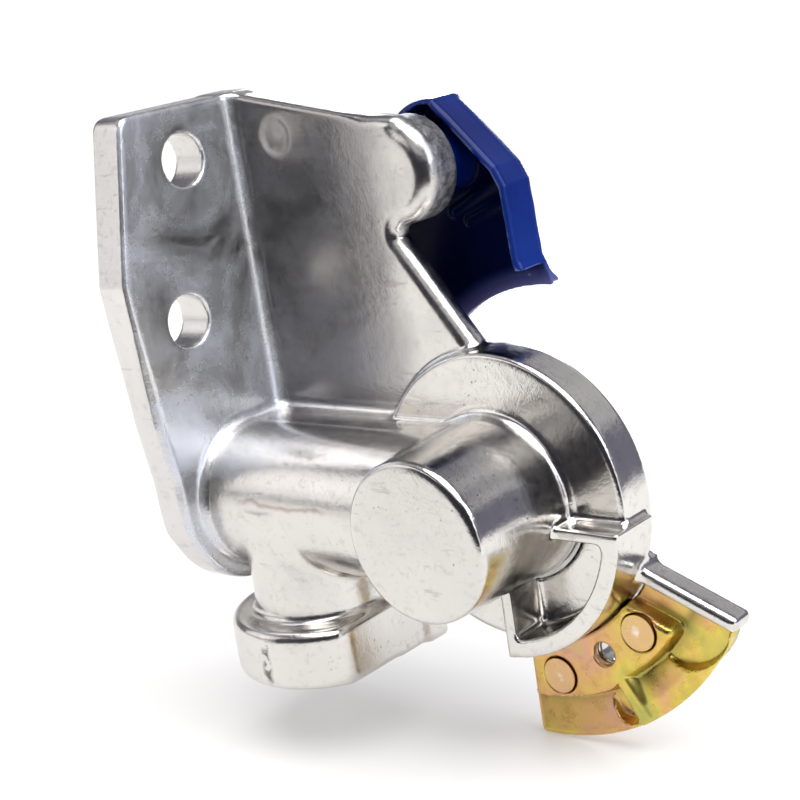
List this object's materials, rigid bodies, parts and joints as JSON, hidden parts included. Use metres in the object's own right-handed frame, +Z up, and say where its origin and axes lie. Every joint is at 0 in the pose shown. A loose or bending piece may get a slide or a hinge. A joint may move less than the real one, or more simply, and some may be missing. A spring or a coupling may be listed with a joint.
{
  "type": "quick disconnect coupler",
  "caption": "Wall-mounted die-cast air-line coupler with a plated detent plate and a blue dust cover that swings down over its seal.",
  "frame": {"origin": "centre of the two-bolt circle on the mounting face", "axes": "+X away from the wall, +Y the way the seal faces, +Z up, away from the hose port"},
  "size_m": [0.1477, 0.0788, 0.1705],
  "materials": {
    "cast_aluminium": "die-cast, semi-bright",
    "zinc_yellow": "yellow zinc plate",
    "blue_paint": "gloss",
    "black_rubber": "matt",
    "bright_steel": "bright zinc",
    "spring_steel": "oiled",
    "plug_steel": "plain",
    "cast_rivet": "plain",
    "white_plastic": "matt",
    "fibre": "matt",
    "bronze": "sintered"
  },
  "bodies": {
    "coupler": {"body_casting": "cast_aluminium", "detent_plate": "zinc_yellow", "rivet_upper": "zinc_yellow", "rivet_lower": "zinc_yellow", "face_seal": "black_rubber", "seal_ring": "bright_steel", "filter_frame": "white_plastic", "filter_mesh": "bright_steel", "filter_cap": "white_plastic", "filter_spring": "spring_steel", "filter_oring": "black_rubber", "rear_plug": "plug_steel", "rear_gasket": "fibre", "pivot_pin": "bright_steel", "thrust_washer": "bright_steel", "wave_washer": "spring_steel", "flat_washer": "bright_steel", "pin_clip": "spring_steel", "stop_pin": "plug_steel"},
    "cover": {"dust_cover": "blue_paint", "cover_pad": "black_rubber", "pad_rivet": "cast_rivet", "pivot_bush": "bronze"}
  },
  "joints": [
    {"name": "cover_hinge", "type": "hinge", "parent": "coupler", "child": "cover", "pos_m": [0.062, 0.045, 0.011], "axis": [0, -1, 0], "range_deg": [0, 42]}
  ]
}
